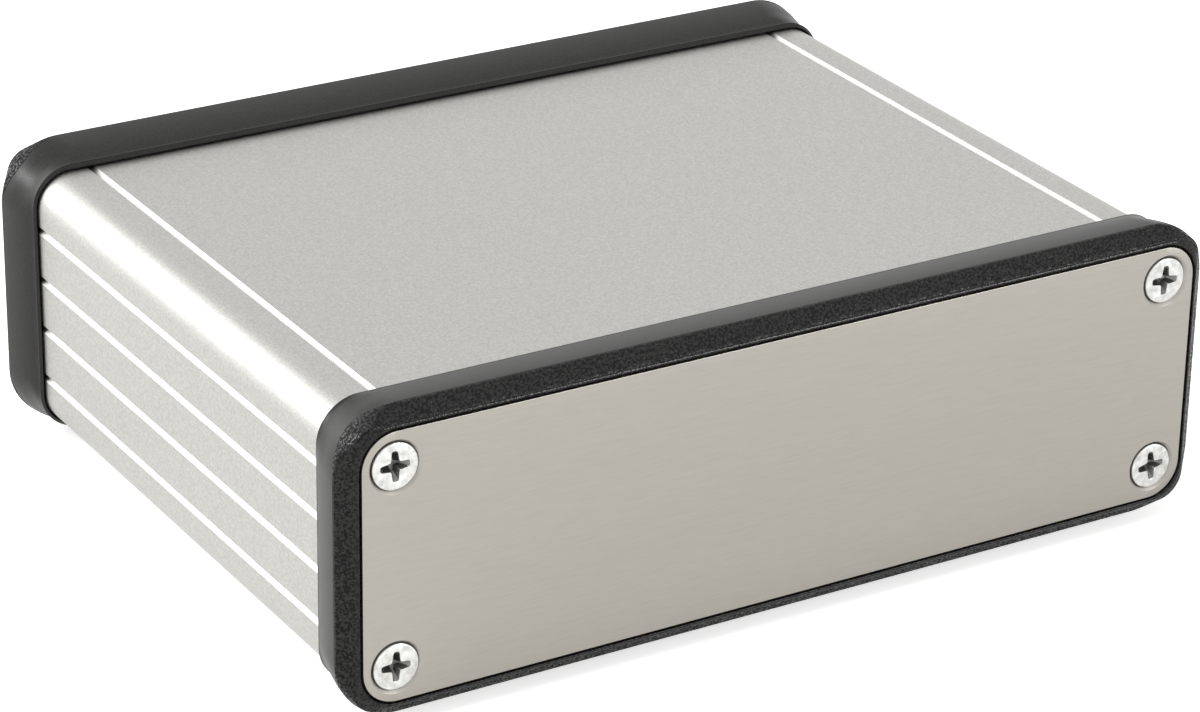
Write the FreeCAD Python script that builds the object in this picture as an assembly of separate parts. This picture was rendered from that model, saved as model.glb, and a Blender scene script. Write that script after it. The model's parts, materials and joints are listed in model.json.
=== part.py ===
import FreeCAD, Part
import math
import os

from FreeCAD import Vector

# Extruded aluminium enclosure for a 100 mm wide circuit board.
# Millimetres. Origin under the middle of the case on the surface that it stands on,
# +X along the width, +Z up, and the front panel faces -Y.

# Extruded body, a channel that is open underneath
body_width = 103.0
body_height = 30.5
body_length = 80.0
body_corner_r = 4.0
wall = 1.4

# V grooves that run the length of the extrusion
groove_width = 0.9
groove_depth = 0.45
side_groove_pitch = 6.0
top_groove_x = 44.9

# Guides inside the side walls, three board levels on each side
guide_levels = (-6.0, 0.0, 6.0)
guide_tip_x = 48.5
guide_slot = 1.9
guide_rib = 1.0

# Screw ports at the corners of the section, split towards the inside
screw_x = 47.2
screw_z = 11.15
port_r = 2.85
port_bore_r = 1.4
port_web = 1.2
port_split = 1.3

# Base plate, which slides into slots along the lower edges of the body
plate_gap = 0.1
plate_thick = 1.8
tongue_reach = 1.5
tongue_thick = 1.0
slot_height = 1.1
slot_floor = 0.8
slot_roof = 0.9

# Moulded bezel at each end
bezel_width = 106.6
bezel_height = 34.6
bezel_fit = 0.15
bezel_lip_x = 0.2
bezel_lip_z = 0.5
bezel_back = 33.8
bezel_crown = 0.8
rim_end = 40.05
web_thick = 0.75
window_width = 98.8
window_height = 26.2
window_corner_r = 1.5
screw_tab_half = 3.3
screw_tab_cut = 1.9

# Corner radius of the bezel's outside at stations from the middle of the case towards its mouth.
# The corners are cut back along the rim and stand almost upright beside the sloping front.
bezel_radii = ((33.8, 4.5), (36.0, 7.0), (40.05, 7.2), (41.3, 3.1), (41.75, 3.8))

# Flat end panel
panel_width = 101.9
panel_height = 30.0
panel_thick = 1.0
panel_corner_r = 3.9
panel_gap = 0.3
bezel_land = 0.2

# Countersunk self-tapping screw with a cross recess
sink_r = 2.95
head_r = 2.75
head_land = 0.15
shank_r = 1.35
shank_length = 7.0
web_hole_r = 2.0
recess_reach = 1.65
recess_floor_reach = 0.7
recess_wing = 0.85
recess_wing_floor = 0.45
recess_depth = 1.1

# How far each cross recess is turned from upright, in degrees
screw_turns = {
    "front_screw_top_left": -2.0,
    "front_screw_top_right": 3.0,
    "front_screw_bottom_left": 1.0,
    "front_screw_bottom_right": -6.0,
    "rear_screw_top_left": -15.0,
    "rear_screw_top_right": 30.0,
    "rear_screw_bottom_left": 7.0,
    "rear_screw_bottom_right": -24.0,
}

# Stick-on rubber foot
foot_height = 3.0
foot_r = 4.8
foot_x = 35.0
foot_y = 25.0

# Heights and stations that follow from the sizes above
mid_z = foot_height + body_height / 2
half_width = body_width / 2
half_height = body_height / 2
half_length = body_length / 2
face_y = half_length + web_thick + panel_thick
head_sink = sink_r - head_r - head_land
overreach = 1.0


def rounded_rect(width, height, radius, y):
    """Closed wire in the plane y, centred on the case's long axis."""
    x, z = width / 2, height / 2
    edges = []
    corners = ((1, 1), (-1, 1), (-1, -1), (1, -1))
    for turn, (sx, sz) in enumerate(corners):
        centre = Vector(sx * (x - radius), y, mid_z + sz * (z - radius))
        start, middle, end = (
            centre + Vector(radius * math.cos(a), 0, radius * math.sin(a))
            for a in (math.radians(90 * turn + step) for step in (0, 45, 90))
        )
        if edges:
            edges.append(Part.LineSegment(edges[-1].Vertexes[-1].Point, start).toShape())
        edges.append(Part.Arc(start, middle, end).toShape())
    edges.append(Part.LineSegment(edges[-1].Vertexes[-1].Point, edges[0].Vertexes[0].Point).toShape())
    return Part.Wire(edges)


def polygon(points, y):
    """Flat face from (x, z) points, z measured from the case's long axis."""
    corners = [Vector(x, y, mid_z + z) for x, z in points]
    return Part.Face(Part.makePolygon(corners + corners[:1]))


def rect(x0, x1, z0, z1, y):
    return polygon(((x0, z0), (x1, z0), (x1, z1), (x0, z1)), y)


def disc(x, z, radius, y):
    circle = Part.makeCircle(radius, Vector(x, y, mid_z + z), Vector(0, 1, 0))
    return Part.Face(Part.Wire(circle))


def groove(x, z, out_x, out_z, y):
    """V tool at a point of the outside surface, open along the outward direction."""
    half = groove_width / 2
    shape = ((-half, overreach), (-half, 0), (0, -groove_depth), (half, 0), (half, overreach))
    return polygon([(x + n * out_x + t * out_z, z + n * out_z + t * out_x) for t, n in shape], y)


def along_case(face, length=body_length):
    """Solid with this face as its section, drawn out towards the rear."""
    return face.extrude(Vector(0, length, 0))


def body_shell():
    """Extruded channel: walls, board guides, screw ports, grooves and plate slots."""
    y = -half_length
    outer = Part.Face(rounded_rect(body_width, body_height, body_corner_r, y))
    inner = Part.Face(
        rounded_rect(body_width - 2 * wall, body_height - 2 * wall, body_corner_r - wall, y)
    )
    ribs = []
    cuts = []
    joint_x = top_groove_x + plate_gap / 2
    slot_low = -half_height + slot_floor
    slot_high = slot_low + slot_height
    wall_middle_x = half_width - wall / 2
    wall_middle_z = half_height - wall / 2
    for side in (-1, 1):
        for level in guide_levels:
            for edge in (-1, 1):
                near = level + edge * guide_slot / 2
                far = near + edge * guide_rib
                ribs.append(rect(side * guide_tip_x, side * wall_middle_x, near, far, y))
        for row in (-1, 1):
            port_x, port_z = side * screw_x, row * screw_z
            ribs.append(disc(port_x, port_z, port_r, y))
            ribs.append(rect(port_x, side * wall_middle_x, port_z - row * port_web,
                             row * wall_middle_z, y))
            cuts.append(disc(port_x, port_z, port_bore_r, y))
            cuts.append(rect(port_x, side * (screw_x - port_r - overreach),
                             port_z - port_split / 2, port_z + port_split / 2, y))
        ribs.append(rect(side * joint_x, port_x, slot_low, slot_high + slot_roof, y))
        cuts.append(rect(side * joint_x, side * (joint_x + tongue_reach + plate_gap),
                         slot_low, slot_high, y))
        for count in (-1.5, -0.5, 0.5, 1.5):
            cuts.append(groove(side * half_width, count * side_groove_pitch, side, 0, y))
        for row in (-1, 1):
            cuts.append(groove(side * top_groove_x, row * half_height, 0, row, y))
    cuts.append(rect(-joint_x, joint_x, -half_height - overreach, slot_high + slot_roof, y))
    bar = along_case(outer)
    tube = bar.cut(along_case(inner)).fuse([along_case(rib).common(bar) for rib in ribs])
    return tube.cut([along_case(cut) for cut in cuts]).removeSplitter()


def base_plate():
    """Flat plate with a tongue along each side and half of each joint's V."""
    y = -half_length
    low = -half_height
    tongue_low = low + slot_floor
    plate_x = top_groove_x - plate_gap / 2
    plate = rect(-plate_x, plate_x, low, low + plate_thick, y)
    tongues = rect(-plate_x - tongue_reach, plate_x + tongue_reach, tongue_low,
                   tongue_low + tongue_thick, y)
    joints = [groove(side * top_groove_x, low, 0, -1, y) for side in (-1, 1)]
    blank = along_case(plate).fuse(along_case(tongues))
    return blank.cut([along_case(joint) for joint in joints]).removeSplitter()


def bezel_blank():
    """Outside of a bezel: crowned rim and sloping front, drawn through sections."""
    back = (bezel_fit + bezel_lip_x, bezel_fit + bezel_lip_z)
    rim = ((bezel_width - body_width) / 2, (bezel_height - body_height) / 2)
    mouth_edge = panel_gap + bezel_land
    mouth = ((panel_width - body_width) / 2 + mouth_edge, (panel_height - body_height) / 2 + mouth_edge)
    sections = []
    for station, radius in bezel_radii:
        if station <= rim_end:
            share = (station - bezel_back) / (rim_end - bezel_back)
            share += bezel_crown * share * (1 - share)
            inner, outer = back, rim
        else:
            share = (station - rim_end) / (face_y - rim_end)
            inner, outer = rim, mouth
        out_x, out_z = (i + (o - i) * share for i, o in zip(inner, outer))
        sections.append(rounded_rect(body_width + 2 * out_x, body_height + 2 * out_z, radius, -station))
    return Part.makeLoft(sections, True, True)


def window_tool():
    """Opening through a bezel's web, with a tab left at each corner for its screw."""
    y = -half_length - web_thick - overreach
    opening = Part.Face(rounded_rect(window_width, window_height, window_corner_r, y))
    near_x = screw_x - screw_tab_half
    near_z = screw_z - screw_tab_half
    outline = (
        (near_x, half_height), (near_x, near_z + screw_tab_cut), (near_x + screw_tab_cut, near_z),
        (half_width, near_z), (half_width, half_height),
    )
    tabs = [
        polygon([(side * x, row * z) for x, z in outline], y) for side in (-1, 1) for row in (-1, 1)
    ]
    length = web_thick + 2 * overreach
    return along_case(opening, length).cut([along_case(tab, length) for tab in tabs])


def countersink(x, z):
    """Cone through the panel, wide end at its face."""
    face = Vector(x, -face_y, mid_z + z)
    return Part.makeCone(sink_r, sink_r - panel_thick, panel_thick, face, Vector(0, 1, 0))


def web_hole(x, z):
    start = Vector(x, -face_y, mid_z + z)
    return Part.makeCylinder(web_hole_r, face_y - half_length + overreach, start, Vector(0, 1, 0))


def screw_places():
    return [(side * screw_x, row * screw_z) for row in (-1, 1) for side in (-1, 1)]


def bezel():
    body_hole = rounded_rect(body_width + 2 * bezel_fit, body_height + 2 * bezel_fit,
                             body_corner_r + bezel_fit, -half_length)
    pocket = rounded_rect(panel_width + 2 * panel_gap, panel_height + 2 * panel_gap,
                          panel_corner_r + panel_gap, -half_length - web_thick)
    tools = [
        Part.Face(body_hole).extrude(Vector(0, body_length / 2, 0)),
        Part.Face(pocket).extrude(Vector(0, -panel_thick - overreach, 0)),
        window_tool(),
    ]
    tools += [web_hole(x, z) for x, z in screw_places()]
    return bezel_blank().cut(tools)


def panel():
    outline = rounded_rect(panel_width, panel_height, panel_corner_r, -face_y)
    plate = Part.Face(outline).extrude(Vector(0, panel_thick, 0))
    return plate.cut([countersink(x, z) for x, z in screw_places()])


def recess_wing_pair(turn):
    """Two opposite wings of the cross recess, narrowing towards the bottom."""
    mouth, floor = recess_reach, recess_floor_reach
    half, floor_half = recess_wing / 2, recess_wing_floor / 2
    wings = Part.makeWedge(-mouth, 0, -half, -floor_half, -floor,
                           mouth, recess_depth, half, floor_half, floor)
    wings.rotate(Vector(0, 0, 0), Vector(0, 1, 0), turn)
    return wings


def screw(turn):
    """Screw with its head's top at the origin and its shank along +Y."""
    head_depth = head_r - shank_r + head_land
    tip = head_depth + shank_length
    profile = ((0, 0), (head_r, 0), (head_r, head_land), (shank_r, head_depth), (shank_r, tip), (0, tip))
    corners = [Vector(r, y, 0) for r, y in profile]
    face = Part.Face(Part.makePolygon(corners + corners[:1]))
    solid = face.revolve(Vector(0, 0, 0), Vector(0, 1, 0), 360)
    return solid.cut([recess_wing_pair(turn), recess_wing_pair(turn + 90)])


def foot(x, y):
    """Round foot, stuck to the base plate."""
    return Part.makeCylinder(foot_r, foot_height, Vector(x, y, 0))


def turned_to_rear(shape):
    copy = shape.copy()
    copy.rotate(Vector(0, 0, 0), Vector(0, 0, 1), 180)
    return copy


def build():
    front_bezel = bezel()
    front_panel = panel()
    nodes = {
        "body_shell": body_shell(),
        "base_plate": base_plate(),
        "front_bezel": front_bezel,
        "rear_bezel": turned_to_rear(front_bezel),
        "front_panel": front_panel,
        "rear_panel": turned_to_rear(front_panel),
    }
    for row_name, row in (("top", 1), ("bottom", -1)):
        for side_name, side in (("left", -1), ("right", 1)):
            for end in ("front", "rear"):
                name = f"{end}_screw_{row_name}_{side_name}"
                piece = screw(screw_turns[name])
                piece.translate(Vector(side * screw_x, -face_y + head_sink, mid_z + row * screw_z))
                nodes[name] = turned_to_rear(piece) if end == "rear" else piece
    for end_name, end in (("front", -1), ("rear", 1)):
        for side_name, side in (("left", -1), ("right", 1)):
            nodes[f"{end_name}_foot_{side_name}"] = foot(side * foot_x, end * foot_y)
    return nodes


os.makedirs("parts", exist_ok=True)
for node, shape in build().items():
    solid = shape.Solids[0]
    box = solid.BoundBox
    print(f"{node}: {solid.Volume:.0f} mm3, {len(solid.Faces)} faces, valid {solid.isValid()}, "
          f"{len(shape.Solids)} solid, {box.XLength:.2f} x {box.YLength:.2f} x {box.ZLength:.2f}")
    solid.exportStep(f"parts/{node}.step")
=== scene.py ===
import bpy
import bmesh
import json
import math
from mathutils import Matrix, Vector


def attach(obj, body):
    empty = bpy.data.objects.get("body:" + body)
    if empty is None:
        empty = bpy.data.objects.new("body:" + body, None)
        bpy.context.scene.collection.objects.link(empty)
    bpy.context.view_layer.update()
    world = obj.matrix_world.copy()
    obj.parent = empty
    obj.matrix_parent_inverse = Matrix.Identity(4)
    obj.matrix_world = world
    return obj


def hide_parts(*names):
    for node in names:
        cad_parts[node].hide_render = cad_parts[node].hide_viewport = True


# Small aluminium instrument case: grooved extrusion, moulded end bezels, brushed end panels
mm = 0.001
weldMm = 0.0005  # points closer than this are one
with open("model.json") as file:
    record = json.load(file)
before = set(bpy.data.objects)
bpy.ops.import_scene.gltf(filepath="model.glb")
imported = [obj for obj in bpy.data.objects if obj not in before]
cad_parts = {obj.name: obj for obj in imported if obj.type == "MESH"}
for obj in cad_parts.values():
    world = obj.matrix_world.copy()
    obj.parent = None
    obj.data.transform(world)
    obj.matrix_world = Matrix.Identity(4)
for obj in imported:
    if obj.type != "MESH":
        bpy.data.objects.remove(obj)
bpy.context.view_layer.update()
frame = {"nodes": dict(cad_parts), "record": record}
print("frame loaded:", len(frame["nodes"]), "nodes")


# Colours are written as sRGB hex and turned to linear here
def linear(hexColour):
    channels = [int(hexColour[i:i + 2], 16) / 255 for i in (1, 3, 5)]
    return [c / 12.92 if c <= 0.04045 else ((c + 0.055) / 1.055) ** 2.4 for c in channels] + [1.0]


# One node with its settings; an input given as a socket is linked, anything else is a value
def addNode(tree, kind, settings=None, inputs=None):
    node = tree.nodes.new(kind)
    for key, value in (settings or {}).items():
        setattr(node, key, value)
    for key, value in (inputs or {}).items():
        if isinstance(value, bpy.types.NodeSocket):
            tree.links.new(value, node.inputs[key])
        else:
            node.inputs[key].default_value = value
    return node


def newMaterial(name):
    material = bpy.data.materials.new(name)
    material.use_nodes = True
    material.node_tree.nodes.clear()
    return material, material.node_tree


def finishMaterial(tree, shader):
    addNode(tree, "ShaderNodeOutputMaterial", inputs={"Surface": shader.outputs[0]})


# Noise on the piece's own coordinates, one blob or streak every so many millimetres along each axis
def grain(tree, sizeInMm, detail=2.0):
    place = addNode(tree, "ShaderNodeTexCoord")
    mapping = addNode(tree, "ShaderNodeMapping", inputs={
        "Vector": place.outputs["Object"],
        "Scale": [1 / (size * mm) for size in sizeInMm],
    })
    noise = addNode(tree, "ShaderNodeTexNoise", inputs={
        "Vector": mapping.outputs["Vector"], "Scale": 1.0, "Detail": detail,
    })
    return noise.outputs["Fac"]


# How far out along an axis from the case's middle: 0 at the first distance, 1 at the second
def outAlong(tree, axis, fromMm, toMm, middleMm=0.0):
    place = addNode(tree, "ShaderNodeTexCoord")
    axes = addNode(tree, "ShaderNodeSeparateXYZ", inputs={"Vector": place.outputs["Object"]})
    off = addNode(tree, "ShaderNodeMath", {"operation": "SUBTRACT"}, {
        0: axes.outputs[axis], 1: middleMm * mm,
    })
    away = addNode(tree, "ShaderNodeMath", {"operation": "ABSOLUTE"}, {0: off.outputs[0]})
    share = addNode(tree, "ShaderNodeMapRange", inputs={
        "Value": away.outputs[0], "From Min": fromMm * mm, "From Max": toMm * mm,
    })
    return share.outputs["Result"]


# Clear anodised aluminium, extruded, etched and anodised: satin grey with a fine salt-and-pepper
# grain. The real etch is finer, and is drawn just coarse enough to show.
anodising = {
    "light": "#C5C4C0", "dark": "#B4B3AF",
    "speckMm": 0.24, "speckDetail": 3.0, "speckContrast": (0.37, 0.65),
    "dieLineMm": (0.35, 40.0, 0.35), "roughness": (0.36, 0.44),
    "bumpMm": 0.012, "bumpStrength": 0.6,
}


def anodisedAluminium():
    material, tree = newMaterial("clearAnodisedAluminium")
    speck = grain(tree, (anodising["speckMm"],) * 3, anodising["speckDetail"])
    saltShare = addNode(tree, "ShaderNodeMapRange", inputs={
        "Value": speck,
        "From Min": anodising["speckContrast"][0], "From Max": anodising["speckContrast"][1],
    })
    colour = addNode(tree, "ShaderNodeMix", {"data_type": "RGBA"}, {
        0: saltShare.outputs["Result"], 6: linear(anodising["dark"]), 7: linear(anodising["light"]),
    })
    roughness = addNode(tree, "ShaderNodeMapRange", inputs={
        "Value": grain(tree, anodising["dieLineMm"]),
        "To Min": anodising["roughness"][0], "To Max": anodising["roughness"][1],
    })
    bump = addNode(tree, "ShaderNodeBump", inputs={
        "Height": speck,
        "Distance": anodising["bumpMm"] * mm, "Strength": anodising["bumpStrength"],
    })
    shader = addNode(tree, "ShaderNodeBsdfPrincipled", inputs={
        "Base Color": colour.outputs[2],
        "Metallic": 1.0,
        "Roughness": roughness.outputs["Result"],
        "Normal": bump.outputs["Normal"],
    })
    finishMaterial(tree, shader)
    return material


# Brushed aluminium sheet: the belt leaves fine scratches along the width, warm grey overall. They
# too are drawn coarser than the real ones, which wouldn't show.
brushing = {
    "light": "#AEAAA3", "dark": "#A9A59E",
    "scratchMm": (2.5, 0.5, 0.11), "scratchDetail": 4.0, "scratchContrast": (0.3, 0.7),
    "cloudMm": (60.0, 1.0, 4.0), "roughness": (0.34, 0.42),
    "bumpMm": 0.001, "bumpStrength": 0.5,
}


def brushedAluminium():
    material, tree = newMaterial("brushedAluminiumSheet")
    scratches = grain(tree, brushing["scratchMm"], brushing["scratchDetail"])
    ridgeShare = addNode(tree, "ShaderNodeMapRange", inputs={
        "Value": scratches,
        "From Min": brushing["scratchContrast"][0], "From Max": brushing["scratchContrast"][1],
    })
    colour = addNode(tree, "ShaderNodeMix", {"data_type": "RGBA"}, {
        0: ridgeShare.outputs["Result"], 6: linear(brushing["dark"]), 7: linear(brushing["light"]),
    })
    roughness = addNode(tree, "ShaderNodeMapRange", inputs={
        "Value": grain(tree, brushing["cloudMm"]),
        "To Min": brushing["roughness"][0], "To Max": brushing["roughness"][1],
    })
    bump = addNode(tree, "ShaderNodeBump", inputs={
        "Height": scratches,
        "Distance": brushing["bumpMm"] * mm, "Strength": brushing["bumpStrength"],
    })
    shader = addNode(tree, "ShaderNodeBsdfPrincipled", inputs={
        "Base Color": colour.outputs[2],
        "Metallic": 1.0,
        "Roughness": roughness.outputs["Result"],
        "Normal": bump.outputs["Normal"],
    })
    finishMaterial(tree, shader)
    return material


# Black ABS: satin on the rim, pebbled by the spark-eroded mould on the sloping front. The pebbles
# start at the rim's front edge, and further back where they go round the corners. The mould's
# parting edge round the mouth is smoother, so it catches a thin dotted line of light.
moulding = {
    # frontDark and rimDark are partly the pebbles' grain and partly painted shade in their pits
    "rimLight": "#232321", "rimDark": "#1A1A19", "frontLight": "#292928", "frontDark": "#000000",
    "pebbleMm": 0.27, "pebbleDetail": 1.0, "pitShadeContrast": (0.4, 0.65), "peakContrast": (0.48, 0.6),
    "bumpMm": 0.1, "rimBump": 0.05, "specular": 0.25,
    "rimRoughness": 0.34, "pitRoughness": 0.75, "peakRoughness": 0.17,
    "textureFromMm": (36.0, 42.0), "textureEdge": (0.668, 0.695),  # the edge as a share of that way
    "mouthFromMm": (41.45, 41.6), "mouthBump": 0.4, "mouthRoughness": 0.18,
    "cornerShift": 0.28,  # how much further back the texture starts at a corner, in the same share
    "cornerFromMm": {"X": (46.3, 51.8, 0.0), "Z": (10.3, 15.8, 18.25)},  # from, to, middle
}


def blackPlastic():
    material, tree = newMaterial("blackMouldedAbs")
    pebbles = grain(tree, (moulding["pebbleMm"],) * 3, moulding["pebbleDetail"])
    sideways, upwards = (outAlong(tree, axis, *moulding["cornerFromMm"][axis]) for axis in "XZ")
    corner = addNode(tree, "ShaderNodeMath", {"operation": "MULTIPLY"}, {0: sideways, 1: upwards})
    reach = addNode(tree, "ShaderNodeMath", {"operation": "MULTIPLY_ADD"}, {
        0: corner.outputs[0], 1: moulding["cornerShift"],
        2: outAlong(tree, "Y", *moulding["textureFromMm"]),
    })
    front = addNode(tree, "ShaderNodeMapRange", inputs={
        "Value": reach.outputs[0],
        "From Min": moulding["textureEdge"][0], "From Max": moulding["textureEdge"][1],
    }).outputs["Result"]
    mouth = outAlong(tree, "Y", *moulding["mouthFromMm"])
    frontHeight = addNode(tree, "ShaderNodeMapRange", inputs={
        "Value": mouth, "To Min": 1.0, "To Max": moulding["mouthBump"],
    })
    height = addNode(tree, "ShaderNodeMapRange", inputs={
        "Value": front, "To Min": moulding["rimBump"], "To Max": frontHeight.outputs["Result"],
    })
    relief = addNode(tree, "ShaderNodeMath", {"operation": "MULTIPLY"}, {
        0: pebbles, 1: height.outputs["Result"],
    })
    bump = addNode(tree, "ShaderNodeBump", inputs={
        "Height": relief.outputs[0], "Distance": moulding["bumpMm"] * mm,
    })
    # painted shade: colour goes darker where the pebbles are low, black in the front's pits, beside
    # their grain
    shade = addNode(tree, "ShaderNodeMapRange", inputs={
        "Value": pebbles,
        "From Min": moulding["pitShadeContrast"][0], "From Max": moulding["pitShadeContrast"][1],
    })
    rimColour, frontColour = (addNode(tree, "ShaderNodeMix", {"data_type": "RGBA"}, {
        0: shade.outputs["Result"],
        6: linear(moulding[part + "Dark"]), 7: linear(moulding[part + "Light"]),
    }) for part in ("rim", "front"))
    colour = addNode(tree, "ShaderNodeMix", {"data_type": "RGBA"}, {
        0: front, 6: rimColour.outputs[2], 7: frontColour.outputs[2],
    })
    pebbled = addNode(tree, "ShaderNodeMapRange", inputs={
        "Value": pebbles,
        "From Min": moulding["peakContrast"][0], "From Max": moulding["peakContrast"][1],
        "To Min": moulding["pitRoughness"], "To Max": moulding["peakRoughness"],
    })
    frontRoughness = addNode(tree, "ShaderNodeMapRange", inputs={
        "Value": mouth, "To Min": pebbled.outputs["Result"], "To Max": moulding["mouthRoughness"],
    })
    roughness = addNode(tree, "ShaderNodeMapRange", inputs={
        "Value": front,
        "To Min": moulding["rimRoughness"], "To Max": frontRoughness.outputs["Result"],
    })
    shader = addNode(tree, "ShaderNodeBsdfPrincipled", inputs={
        "Base Color": colour.outputs[2],
        "Specular IOR Level": moulding["specular"],
        "Roughness": roughness.outputs["Result"],
        "Normal": bump.outputs["Normal"],
    })
    finishMaterial(tree, shader)
    return material


# Bright zinc plate over a forged steel head: cool and shiny with soft cloudy patches. Down in the
# cross recess and under the head its colour is darker, as painted shade.
plating = {
    # recess is the painted shade colour below the head's top, in the cross recess and under the head
    "light": "#EEEEEB", "dark": "#C8C8C5", "recess": "#7E7E7C", "recessShadeFromMm": (41.64, 41.675),
    "cloudMm": 0.7, "cloudContrast": (0.3, 0.7), "roughness": (0.22, 0.38),
}


def zincPlate():
    material, tree = newMaterial("brightZincPlate")
    clouds = grain(tree, (plating["cloudMm"],) * 3)
    cloudShare = addNode(tree, "ShaderNodeMapRange", inputs={
        "Value": clouds,
        "From Min": plating["cloudContrast"][0], "From Max": plating["cloudContrast"][1],
    })
    bright = addNode(tree, "ShaderNodeMix", {"data_type": "RGBA"}, {
        0: cloudShare.outputs["Result"], 6: linear(plating["dark"]), 7: linear(plating["light"]),
    })
    # painted shade: darker colour below the head's top, in the cross recess and under the head
    colour = addNode(tree, "ShaderNodeMix", {"data_type": "RGBA"}, {
        0: outAlong(tree, "Y", *plating["recessShadeFromMm"]),
        6: linear(plating["recess"]), 7: bright.outputs[2],
    })
    roughness = addNode(tree, "ShaderNodeMapRange", inputs={
        "Value": clouds, "To Min": plating["roughness"][0], "To Max": plating["roughness"][1],
    })
    shader = addNode(tree, "ShaderNodeBsdfPrincipled", inputs={
        "Base Color": colour.outputs[2],
        "Metallic": 1.0,
        "Roughness": roughness.outputs["Result"],
    })
    finishMaterial(tree, shader)
    return material


# Moulded rubber: near black, dull, with a faint bloom
rubber = {
    "light": "#2B2A29", "dark": "#201F1E", "roughness": 0.75,
    "bloomMm": 1.2, "bloomContrast": (0.3, 0.7),
}


def mouldedRubber():
    material, tree = newMaterial("mouldedRubber")
    bloom = addNode(tree, "ShaderNodeMapRange", inputs={
        "Value": grain(tree, (rubber["bloomMm"],) * 3),
        "From Min": rubber["bloomContrast"][0], "From Max": rubber["bloomContrast"][1],
    })
    colour = addNode(tree, "ShaderNodeMix", {"data_type": "RGBA"}, {
        0: bloom.outputs["Result"], 6: linear(rubber["dark"]), 7: linear(rubber["light"]),
    })
    shader = addNode(tree, "ShaderNodeBsdfPrincipled", inputs={
        "Base Color": colour.outputs[2],
        "Roughness": rubber["roughness"],
    })
    finishMaterial(tree, shader)
    return material


finishes = {
    "anodised_aluminium": anodisedAluminium(),
    "brushed_aluminium": brushedAluminium(),
    "black_plastic": blackPlastic(),
    "zinc_plated_steel": zincPlate(),
    "rubber": mouldedRubber(),
}
slotOf = {row["node"]: row["material_slot"] for row in frame["record"]["subparts"]}
for name, node in frame["nodes"].items():
    node.data.materials.clear()
    node.data.materials.append(finishes[slotOf[name]])
print("materials on", len(frame["nodes"]), "CAD nodes")


sharpFromDegrees = 30.0


# A finished mesh becomes a piece that stands for one CAD node and takes over its finish
def addPiece(bm, name, node):
    mesh = bpy.data.meshes.new(name)
    bm.to_mesh(mesh)
    bm.free()
    if "custom_normal" in mesh.attributes:  # left from the CAD mesh, out of date after the weld
        mesh.attributes.remove(mesh.attributes["custom_normal"])
    piece = bpy.data.objects.new(name, mesh)
    bpy.context.scene.collection.objects.link(piece)
    mesh.shade_smooth()
    mesh.set_sharp_from_angle(angle=math.radians(sharpFromDegrees))
    mesh.materials.append(finishes[slotOf[node]])
    evenShading = piece.modifiers.new("evenShading", "WEIGHTED_NORMAL")
    evenShading.keep_sharp = True
    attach(piece, "root")
    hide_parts(node)


# The extruded body keeps its CAD section, welded so that its rounds shade smoothly, and with the
# triangles of a flat face joined
extrusion = {"flatDegrees": 0.5}


def bodyExtrusion():
    bm = bmesh.new()
    bm.from_mesh(frame["nodes"]["body_shell"].data)
    bmesh.ops.remove_doubles(bm, verts=bm.verts, dist=weldMm * mm)
    bmesh.ops.dissolve_limit(bm, angle_limit=math.radians(extrusion["flatDegrees"]),
                             verts=bm.verts, edges=bm.edges)
    addPiece(bm, "bodyExtrusion", "body_shell")


# The other pieces are drawn in millimetres as loops round the case's long axis, at this height
middleZ = 18.25
cornerSteps = 20
upright = Matrix.Rotation(math.pi / 2, 3, "X")


def edgesOf(verts):
    return list({edge for vert in verts for edge in vert.link_edges})


# Open loop across the case: a unit square is scaled, stood up, and its corners are rounded
def roundedLoop(bm, width, height, radius, y):
    others = set(bm.faces)
    corners = bmesh.ops.create_grid(bm, x_segments=1, y_segments=1, size=0.5)["verts"]
    bmesh.ops.scale(bm, vec=(width, height, 1.0), verts=corners)
    bmesh.ops.rotate(bm, cent=(0.0, 0.0, 0.0), matrix=upright, verts=corners)
    bmesh.ops.translate(bm, vec=(0.0, y, middleZ), verts=corners)
    bmesh.ops.bevel(bm, geom=corners, offset=radius, offset_type="OFFSET", affect="VERTICES",
                    segments=cornerSteps, profile=0.5, material=-1)
    face = (set(bm.faces) - others).pop()
    edges = list(face.edges)
    bmesh.ops.delete(bm, geom=[face], context="FACES_ONLY")
    return edges


def circleLoop(bm, x, z, radius, y, steps):
    rim = bmesh.ops.create_circle(bm, cap_ends=False, segments=steps, radius=radius)["verts"]
    bmesh.ops.rotate(bm, cent=(0.0, 0.0, 0.0), matrix=upright, verts=rim)
    bmesh.ops.translate(bm, vec=(x, y, middleZ + z), verts=rim)
    return edgesOf(rim)


# Faces from each loop to the next. Two loops in one plane would pair wrongly, so they are drawn
# 0.02 mm apart.
def skin(bm, loops):
    for first, second in zip(loops, loops[1:]):
        bmesh.ops.bridge_loops(bm, edges=first + second)


def flatFill(bm, *loops):
    bmesh.ops.triangle_fill(bm, use_beauty=True, edges=[edge for loop in loops for edge in loop])


def softenEdge(bm, edges, size, steps):
    bmesh.ops.bevel(bm, geom=edges, offset=size, offset_type="OFFSET", affect="EDGES",
                    segments=steps, profile=0.5, material=-1)


# Merge, turn the faces outwards, swing to the rear end if it belongs there, and go to metres
def settle(bm, end="front"):
    bmesh.ops.remove_doubles(bm, verts=bm.verts, dist=weldMm)
    bmesh.ops.recalc_face_normals(bm, faces=bm.faces)
    if end == "rear":
        halfTurn = Matrix.Rotation(math.pi, 3, "Z")
        bmesh.ops.rotate(bm, cent=(0.0, 0.0, 0.0), matrix=halfTurn, verts=bm.verts)
    bmesh.ops.scale(bm, vec=(mm, mm, mm), verts=bm.verts)


# Screws at each end: across from the case's middle and up from its middle height
screwPlaces = {"top_left": (-47.2, 11.15), "top_right": (47.2, 11.15),
               "bottom_left": (-47.2, -11.15), "bottom_right": (47.2, -11.15)}

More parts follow.
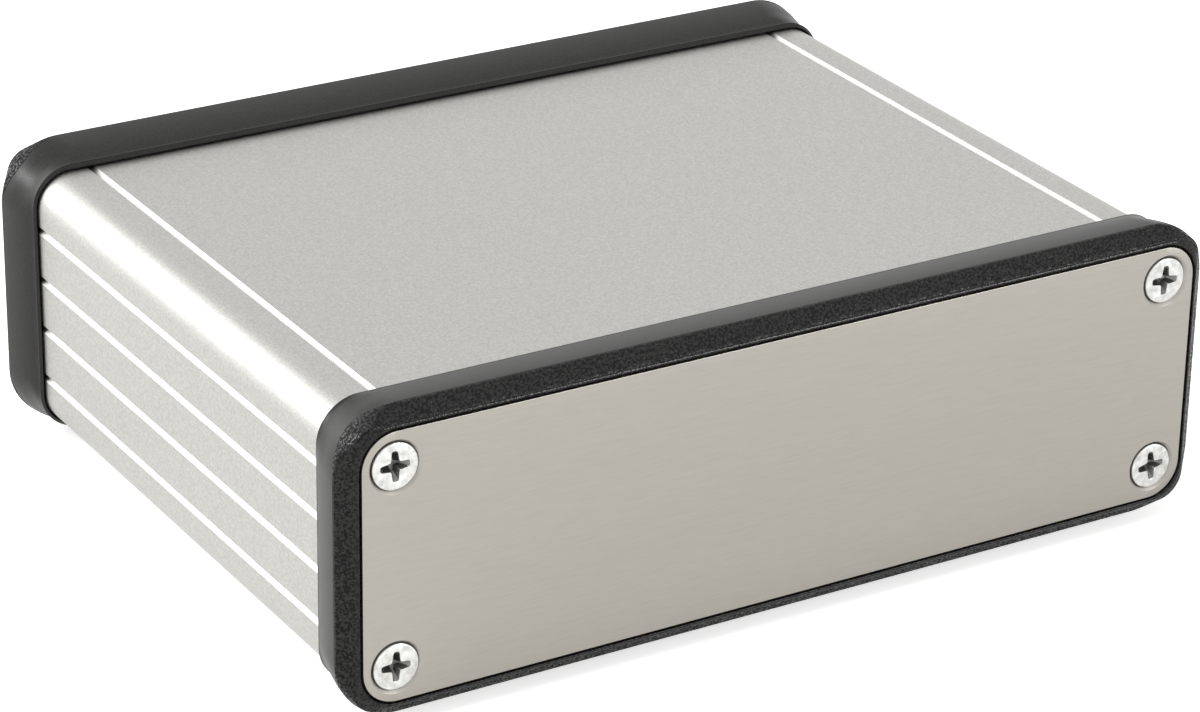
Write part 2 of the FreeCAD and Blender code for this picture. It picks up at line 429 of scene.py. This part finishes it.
# Bezel: rows are distance from the middle of the case, width, height and corner radius. Its outside
# goes from a chamfered back edge over the crowned rim and down the sloping front to the mouth.
bezel = {
    "outside": ((33.8, 103.56, 31.24, 4.35), (34.1, 104.04, 32.12, 4.8), (34.4, 104.1, 32.18, 5.15),
                (34.8, 104.48, 32.55, 5.7), (36.0, 105.25, 33.29, 7.0), (37.4, 105.9, 33.92, 7.1),
                (38.8, 106.36, 34.37, 7.15), (40.05, 106.6, 34.6, 7.2), (41.3, 103.88, 31.95, 3.1),
                (41.75, 102.9, 31.0, 3.8)),
    "pocket": ((41.73, 102.5, 30.6, 4.2), (40.75, 102.5, 30.6, 4.2)),
    "bodyHole": ((40.0, 103.3, 30.8, 4.15), (36.0, 103.3, 30.8, 4.15), (33.82, 103.42, 31.0, 4.21)),
    "rimRound": (0.2, 4), "mouthRound": (0.16, 3), "pocketRound": (0.03, 2),  # size and steps
    "windowHalf": (49.4, 13.1), "tabHalf": 3.3, "tabCut": 1.9, "tabRound": 0.4, "tabSteps": 4,
    "holeR": 2.0, "holeSteps": 32,
}


# Window outline with a notch for each screw tab, whose corner is cut off
def windowLoop(bm, y):
    farX, farZ = bezel["windowHalf"]
    nearX = screwPlaces["top_right"][0] - bezel["tabHalf"]
    nearZ = screwPlaces["top_right"][1] - bezel["tabHalf"]
    cut = bezel["tabCut"]
    outline = []
    for sx, sz in ((1, 1), (-1, 1), (-1, -1), (1, -1)):
        notch = [(farX, nearZ), (nearX + cut, nearZ), (nearX, nearZ + cut), (nearX, farZ)]
        outline += [(sx * x, sz * z) for x, z in (notch if sx * sz > 0 else notch[::-1])]
    verts = [bm.verts.new((x, y, middleZ + z)) for x, z in outline]
    face = bm.faces.new(verts)
    others = set(bm.faces) - {face}
    bmesh.ops.bevel(bm, geom=verts, offset=bezel["tabRound"], offset_type="OFFSET",
                    affect="VERTICES", segments=bezel["tabSteps"], profile=0.5, material=-1)
    face = (set(bm.faces) - others).pop()
    edges = list(face.edges)
    bmesh.ops.delete(bm, geom=[face], context="FACES_ONLY")
    return edges


def bezelMoulding(end):
    bm = bmesh.new()
    outside, pocket, bodyHole = (
        [roundedLoop(bm, width, height, radius, -away) for away, width, height, radius in bezel[part]]
        for part in ("outside", "pocket", "bodyHole")
    )
    skin(bm, outside + pocket)
    skin(bm, bodyHole + outside[:1])
    webFaces = (-bezel["pocket"][1][0], -bezel["bodyHole"][0][0])
    windows = [windowLoop(bm, y) for y in webFaces]
    holes = [[circleLoop(bm, x, z, bezel["holeR"], y, bezel["holeSteps"])
              for x, z in screwPlaces.values()] for y in webFaces]
    skin(bm, windows)
    for pair in zip(*holes):
        skin(bm, pair)
    flatFill(bm, pocket[1], windows[0], *holes[0])
    flatFill(bm, bodyHole[0], windows[1], *holes[1])
    softenEdge(bm, outside[-3], *bezel["rimRound"])
    softenEdge(bm, outside[-1], *bezel["mouthRound"])
    softenEdge(bm, pocket[0], *bezel["pocketRound"])
    settle(bm, end)
    addPiece(bm, end + "BezelMoulding", end + "_bezel")


# End panel: sheet with blunted edges and a countersink for each screw. Outline rows are as the
# bezel's, and sink rows are distance from the middle of the case and radius.
panel = {
    "outline": ((40.75, 101.9, 30.0, 3.9), (41.67, 101.9, 30.0, 3.9), (41.727, 101.86, 29.96, 3.88),
                (41.75, 101.74, 29.84, 3.82)),
    "sink": ((40.75, 1.95), (41.72, 2.92), (41.75, 2.97)), "sinkSteps": 72,
}


def panelSheet(end):
    bm = bmesh.new()
    outline = [roundedLoop(bm, width, height, radius, -away)
               for away, width, height, radius in panel["outline"]]
    skin(bm, outline)
    sinks = [[circleLoop(bm, x, z, radius, -away, panel["sinkSteps"])
              for away, radius in panel["sink"]] for x, z in screwPlaces.values()]
    for sink in sinks:
        skin(bm, sink)
    flatFill(bm, outline[0], *[sink[0] for sink in sinks])
    flatFill(bm, outline[-1], *[sink[-1] for sink in sinks])
    settle(bm, end)
    addPiece(bm, end + "PanelSheet", end + "_panel")


# Countersunk screw: profile rows are radius and depth below the head's top, recess rows are depth
# and scale. The turns are where each screw happened to stop, in degrees.
screw = {
    "profile": ((2.4, 0.0), (2.5, 0.02), (2.57, 0.07), (2.6, 0.13), (2.6, 0.25), (1.35, 1.55),
                (1.35, 8.35), (1.15, 8.55), (0.0, 8.55)),
    "steps": 72, "headTop": 41.70,
    "wingReach": 1.65, "wingTip": 0.33, "wingRoot": 0.47,
    "tipRound": 0.2, "rootRound": 0.16, "roundSteps": 3,
    "recess": ((0.0, 1.04), (0.05, 0.99), (1.05, 0.48)),
    "turns": {
        "front": {"top_left": -2.0, "top_right": 3.0, "bottom_left": 1.0, "bottom_right": -6.0},
        "rear": {"top_left": -15.0, "top_right": 30.0, "bottom_left": 7.0, "bottom_right": -24.0},
    },
}


# Outline of the cross recess at a depth, with rounded wing tips and roots
def crossLoop(bm, depth, scale):
    reach, tip, root = screw["wingReach"], screw["wingTip"], screw["wingRoot"]
    verts = []
    for quarter in range(4):
        turn = Matrix.Rotation(math.pi / 2 * quarter, 2)
        for corner in ((reach, -tip), (reach, tip), (root, root)):
            x, z = turn @ Vector(corner)
            verts.append(bm.verts.new((x, depth, z)))
    others = set(bm.faces)
    bm.faces.new(verts)
    roots = verts[2::3]
    tips = [vert for vert in verts if vert not in roots]
    for group, size in ((tips, screw["tipRound"]), (roots, screw["rootRound"])):
        bmesh.ops.bevel(bm, geom=group, offset=size, offset_type="OFFSET", affect="VERTICES",
                        segments=screw["roundSteps"], profile=0.5, material=-1)
    face = (set(bm.faces) - others).pop()
    bmesh.ops.scale(bm, vec=(scale, 1.0, scale), verts=face.verts)
    edges = list(face.edges)
    bmesh.ops.delete(bm, geom=[face], context="FACES_ONLY")
    return edges


def spinProfile(bm, points, axis, steps):
    verts = [bm.verts.new(point) for point in points]
    edges = [bm.edges.new(pair) for pair in zip(verts, verts[1:])]
    bmesh.ops.spin(bm, geom=verts + edges, cent=(0.0, 0.0, 0.0), axis=axis, dvec=(0.0, 0.0, 0.0),
                   angle=2 * math.pi, steps=steps, use_merge=True, use_duplicate=False)
    bmesh.ops.remove_doubles(bm, verts=bm.verts, dist=weldMm)


def crossScrew(end, place):
    x, z = screwPlaces[place]
    bm = bmesh.new()
    points = [(radius, depth, 0.0) for radius, depth in screw["profile"]]
    spinProfile(bm, points, (0, 1, 0), screw["steps"])
    headRim = [edge for edge in bm.edges if edge.is_boundary]
    recess = [crossLoop(bm, depth, scale) for depth, scale in screw["recess"]]
    skin(bm, recess)
    flatFill(bm, headRim, recess[0])
    bmesh.ops.edgeloop_fill(bm, edges=recess[-1])
    turn = Matrix.Rotation(math.radians(screw["turns"][end][place]), 3, "Y")
    bmesh.ops.rotate(bm, cent=(0.0, 0.0, 0.0), matrix=turn, verts=bm.verts)
    bmesh.ops.translate(bm, vec=(x, -screw["headTop"], middleZ + z), verts=bm.verts)
    settle(bm, end)
    corner = place.title().replace("_", "")
    addPiece(bm, end + "Screw" + corner, end + "_screw_" + place)


# Stick-on foot: profile rows are radius and height, with a blunted tread and a shallow hollow. Each
# foot lies x and y from the case's middle.
foot = {
    "profile": ((0.0, 3.0), (4.7, 3.0), (4.8, 2.9), (4.62, 0.5), (4.52, 0.15), (4.2, 0.0),
                (3.3, 0.0), (2.9, 0.2), (0.0, 0.2)),
    "steps": 64, "x": 35.0, "y": 25.0,
}


def rubberFoot(end, side):
    bm = bmesh.new()
    points = [(radius, 0.0, height) for radius, height in foot["profile"]]
    spinProfile(bm, points, (0, 0, 1), foot["steps"])
    x = foot["x"] if side == "Right" else -foot["x"]
    y = foot["y"] if end == "rear" else -foot["y"]
    bmesh.ops.translate(bm, vec=(x, y, 0.0), verts=bm.verts)
    settle(bm)
    addPiece(bm, end + "Foot" + side, end + "_foot_" + side.lower())


bodyExtrusion()
print("body done")
for end in ("front", "rear"):
    bezelMoulding(end)
    panelSheet(end)
    for place in screwPlaces:
        crossScrew(end, place)
    for side in ("Left", "Right"):
        rubberFoot(end, side)
    print(end, "bezel, panel, screws and feet done")


# Floor, sky and lamps. The camera sees floor and sky white. Reflections see the sky white too, and
# a dimmer floor. Only as a source of light is the sky weaker than it looks.
studio = {
    "floorSize": 6.0, "floor": "#F4F4F3", "floorRoughness": 0.9, "floorSpecular": 0.1,
    "floorGlow": 0.62, "floorGlowInReflections": 0.17, "skyStrength": 0.55, "glow": "#FFFFFF",
}


# 1 for what the camera sees, the given share for what shows in reflections and through glass, else 0
def seen(tree, inReflections=1.0):
    path = addNode(tree, "ShaderNodeLightPath")
    mirrored = addNode(tree, "ShaderNodeMath", {"operation": "MAXIMUM"},
                       {0: path.outputs["Is Glossy Ray"], 1: path.outputs["Is Transmission Ray"]})
    shared = addNode(tree, "ShaderNodeMath", {"operation": "MULTIPLY"},
                     {0: mirrored.outputs[0], 1: inReflections})
    either = addNode(tree, "ShaderNodeMath", {"operation": "MAXIMUM"},
                     {0: path.outputs["Is Camera Ray"], 1: shared.outputs[0]})
    return either.outputs[0]


def addFloor():
    bm = bmesh.new()
    bmesh.ops.create_grid(bm, x_segments=1, y_segments=1, size=studio["floorSize"])
    mesh = bpy.data.meshes.new("floor")
    bm.to_mesh(mesh)
    bm.free()
    floor = bpy.data.objects.new("floor", mesh)
    bpy.context.scene.collection.objects.link(floor)
    material, tree = newMaterial("paleFloor")
    glow = addNode(tree, "ShaderNodeMath", {"operation": "MULTIPLY"}, {
        0: seen(tree, studio["floorGlowInReflections"] / studio["floorGlow"]), 1: studio["floorGlow"],
    })
    shader = addNode(tree, "ShaderNodeBsdfPrincipled", inputs={
        "Base Color": linear(studio["floor"]),
        "Roughness": studio["floorRoughness"],
        "Specular IOR Level": studio["floorSpecular"],
        "Emission Color": linear(studio["glow"]),
        "Emission Strength": glow.outputs[0],
    })
    finishMaterial(tree, shader)
    mesh.materials.append(material)


def addSky():
    world = bpy.data.worlds.new("studioSky")
    bpy.context.scene.world = world
    world.use_nodes = True
    tree = world.node_tree
    tree.nodes.clear()
    strength = addNode(tree, "ShaderNodeMapRange", inputs={
        "Value": seen(tree), "To Min": studio["skyStrength"],
    })
    sky = addNode(tree, "ShaderNodeBackground", inputs={
        "Color": linear(studio["glow"]), "Strength": strength.outputs["Result"],
    })
    addNode(tree, "ShaderNodeOutputWorld", inputs={"Surface": sky.outputs[0]})


# Soft boxes, all at one distance in metres: the way each lies from the case (azimuth from the front,
# elevation), its size and its power
softBoxDistance = 1.2
softBoxes = {
    "keyRearLeft": {"azimuth": -146.0, "elevation": 20.5, "size": (1.0, 0.8), "power": 4.8},
    "sparkleLeft": {"azimuth": -126.0, "elevation": 27.0, "size": (0.2, 0.2), "power": 3.4},
    "highLeft": {"azimuth": -85.0, "elevation": 60.0, "size": (0.8, 0.8), "power": 7.0},
    "edgeFrontRight": {"azimuth": 32.0, "elevation": 15.0, "size": (0.25, 0.4), "power": 4.4},
}


def direction(azimuth, elevation):
    a, e = math.radians(azimuth), math.radians(elevation)
    return Vector((math.sin(a) * math.cos(e), -math.cos(a) * math.cos(e), math.sin(e)))


def addSoftBox(name, box):
    lamp = bpy.data.lights.new(name, "AREA")
    lamp.shape = "RECTANGLE"
    lamp.size, lamp.size_y = box["size"]
    lamp.energy = box["power"]
    holder = bpy.data.objects.new(name, lamp)
    bpy.context.scene.collection.objects.link(holder)
    toLamp = direction(box["azimuth"], box["elevation"])
    holder.location = toLamp * softBoxDistance
    holder.rotation_euler = toLamp.to_track_quat("Z", "Y").to_euler()


# Camera solved from the photograph's straight edges
view = {
    "azimuth": -31.17, "elevation": 24.677, "roll": 0.991, "distanceMm": 481.7,
    "aimMm": (0.0, -1.97, 14.87), "lens": 129.53, "sensorMm": 36.0,
}


def addCamera():
    camera = bpy.data.cameras.new("camera")
    camera.lens = view["lens"]
    camera.sensor_width = view["sensorMm"]
    holder = bpy.data.objects.new("camera", camera)
    bpy.context.scene.collection.objects.link(holder)
    back = direction(view["azimuth"], view["elevation"])
    roll = Matrix.Rotation(math.radians(view["roll"]), 3, "Z")
    turn = back.to_track_quat("Z", "Y").to_matrix() @ roll
    holder.location = Vector(view["aimMm"]) * mm + back * view["distanceMm"] * mm
    holder.rotation_euler = turn.to_euler()
    bpy.context.scene.camera = holder


addFloor()
addSky()
for name, box in softBoxes.items():
    addSoftBox(name, box)
addCamera()
bpy.context.scene.view_settings.view_transform = "Standard"
print("stage, lamps and camera done")
